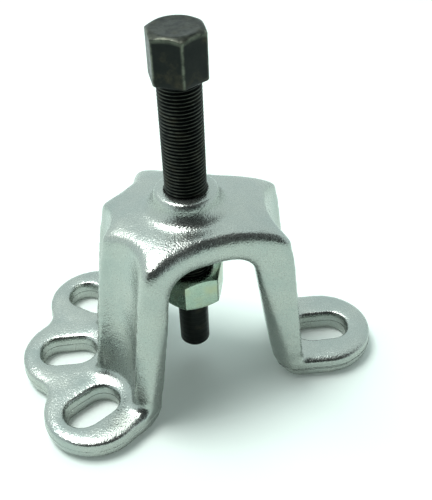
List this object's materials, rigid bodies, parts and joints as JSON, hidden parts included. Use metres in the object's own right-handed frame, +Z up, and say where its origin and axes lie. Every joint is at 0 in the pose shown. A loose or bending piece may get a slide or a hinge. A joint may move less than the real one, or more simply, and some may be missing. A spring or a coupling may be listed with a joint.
{
  "type": "wheel hub puller",
  "caption": "Forged arched yoke on slotted feet with a hex-headed forcing screw through a boss at its crown and a loose hex nut on the screw, for pressing an axle out of a wheel hub.",
  "frame": {"origin": "on the screw axis, in the plane the feet stand on", "axes": "+Z up the screw towards its hex head, +X towards the single slotted foot, Y along the width of the three-lobed flange"},
  "size_m": [0.1487, 0.103, 0.1512],
  "materials": {
    "zinc_forging": "blasted forging under bright zinc plate",
    "black_oxide": "black oxide on steel, oiled",
    "zinc_nut": "bright zinc plate with a faint green tint"
  },
  "bodies": {
    "yoke": {"yoke": "zinc_forging"},
    "screw_point": {"screw_point": "black_oxide"},
    "forcing_screw": {"forcing_screw": "black_oxide"},
    "hex_nut": {"hex_nut": "zinc_nut"}
  },
  "joints": [
    {"name": "screw_feed", "type": "slide", "parent": "yoke", "child": "screw_point", "axis": [0, 0, -1], "range_m": [-0.00847, 0.04374]},
    {"name": "screw_turn", "type": "hinge", "parent": "screw_point", "child": "forcing_screw", "pos_m": [0, 0, 0.1], "axis": [0, 0, -1], "range_deg": [-2160, 11160]},
    {"name": "nut_travel", "type": "slide", "parent": "forcing_screw", "child": "hex_nut", "axis": [0, 0, 1], "range_m": [0, 0.00706]}
  ],
  "couplings": [
    {"joint": "screw_turn", "follows": "screw_feed", "rad_per_m": 4452.7}
  ]
}
